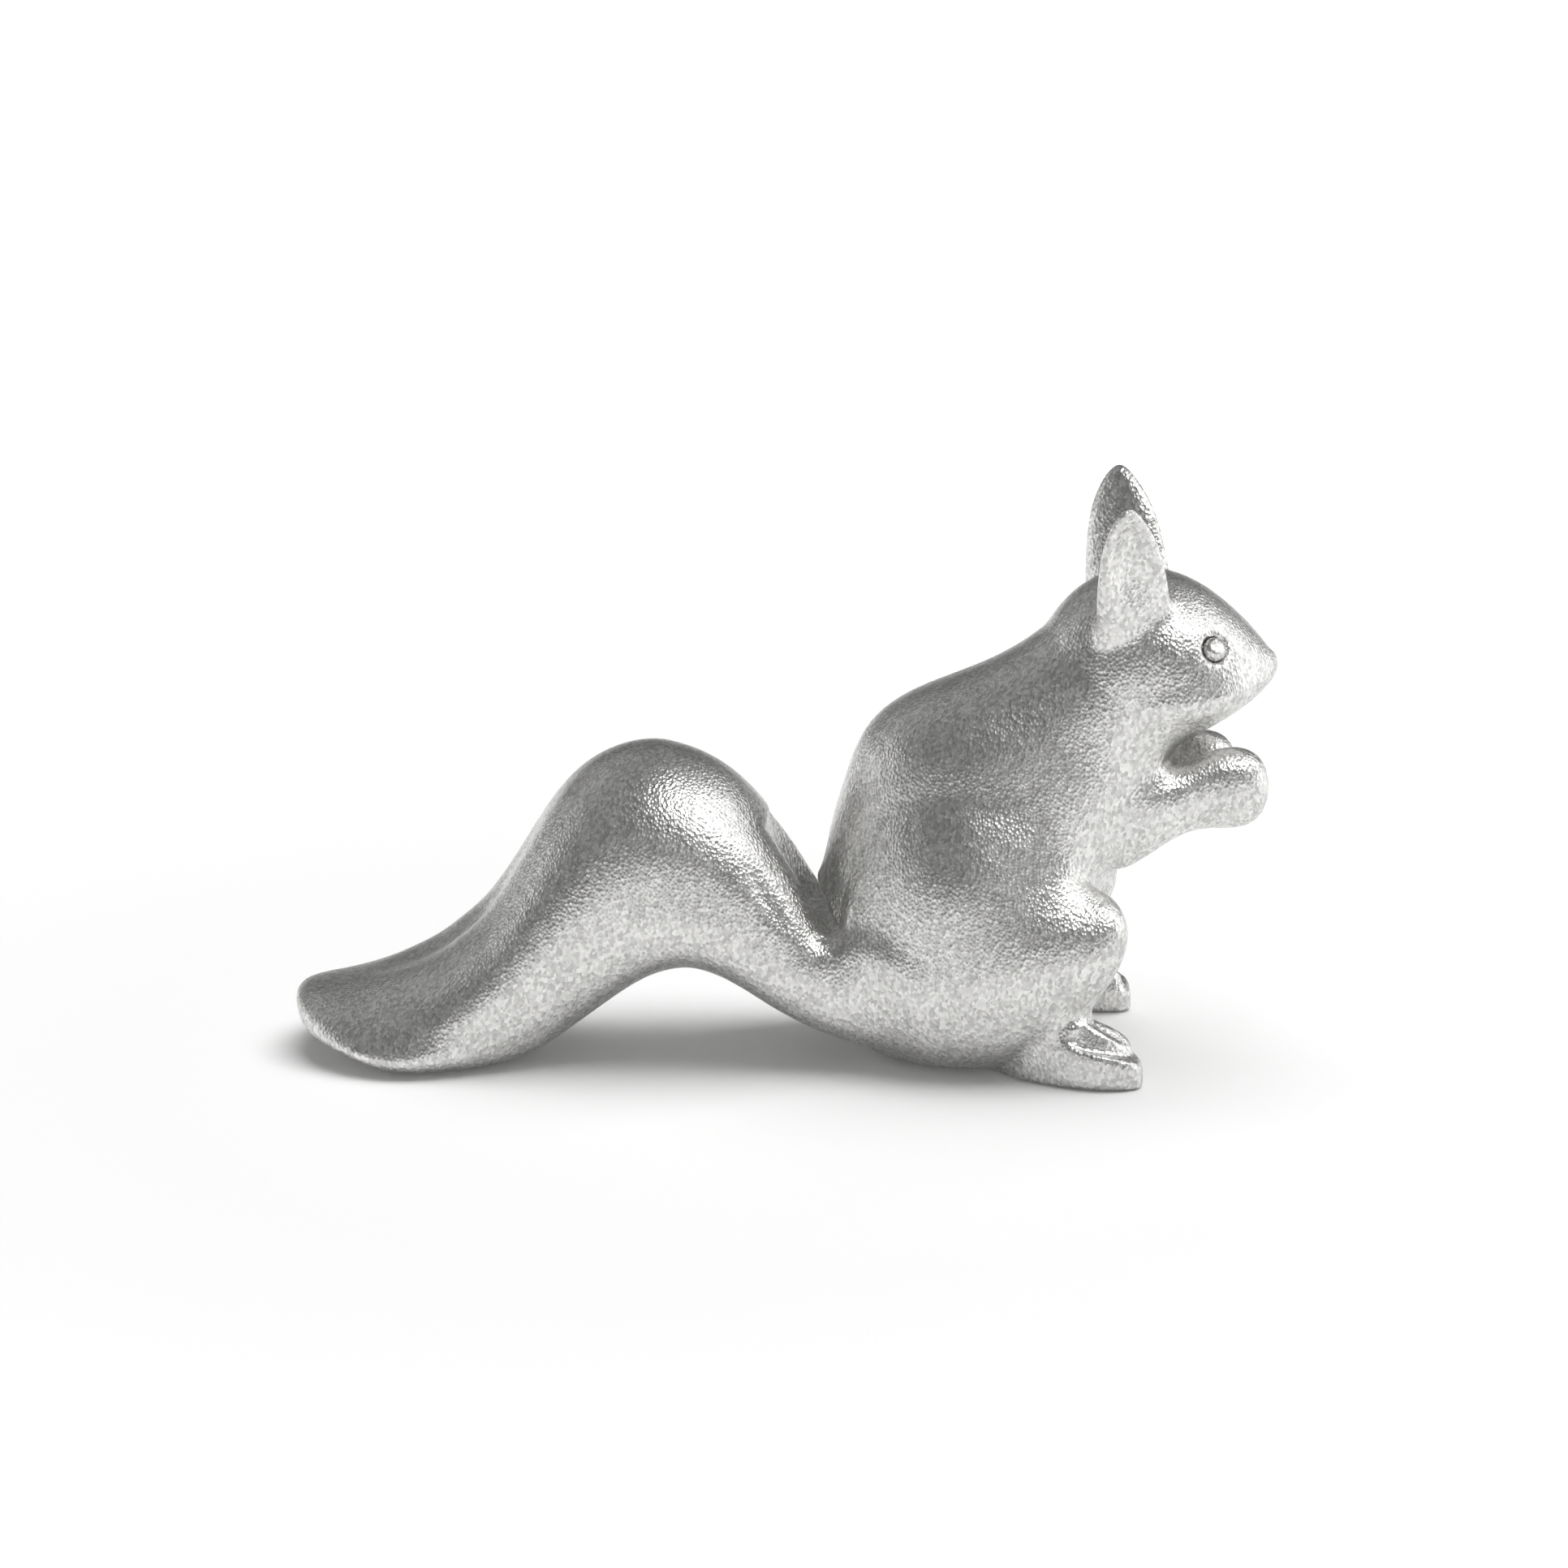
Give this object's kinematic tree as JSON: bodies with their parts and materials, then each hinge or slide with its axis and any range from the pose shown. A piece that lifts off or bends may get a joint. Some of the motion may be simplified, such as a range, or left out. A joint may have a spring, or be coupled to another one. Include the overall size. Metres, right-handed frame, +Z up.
{
  "type": "squirrel figurine",
  "caption": "Small satin cast metal squirrel that sits upright with its forepaws together, cupped ears and an arched tail with a cleft along its top; stands free as an ornament.",
  "frame": {"origin": "on the ground, under the middle of the length and width", "axes": "+X from the tail towards the nose, +Y to the animal's left, +Z up"},
  "size_m": [0.1, 0.032, 0.0593],
  "materials": {
    "torso_metal": "satin with a fine wire-brushed grain",
    "head_metal": "satin with a fine wire-brushed grain",
    "tail_metal": "satin with a fine wire-brushed grain",
    "ear_metal": "satin with a fine wire-brushed grain",
    "arm_metal": "satin with a fine wire-brushed grain",
    "foot_metal": "satin with a fine wire-brushed grain",
    "eye_metal": "bright satin",
    "dowel_steel": "plain turned, hidden"
  },
  "bodies": {
    "root": {"torso": "torso_metal", "head": "head_metal", "tail": "tail_metal", "ear_right": "ear_metal", "ear_left": "ear_metal", "arm_right": "arm_metal", "arm_left": "arm_metal", "foot_right": "foot_metal", "foot_left": "foot_metal", "eye_right": "eye_metal", "eye_left": "eye_metal", "neck_dowel": "dowel_steel", "tail_dowels": "dowel_steel", "ear_dowels": "dowel_steel", "arm_dowels": "dowel_steel", "foot_dowels": "dowel_steel"}
  },
  "joints": []
}
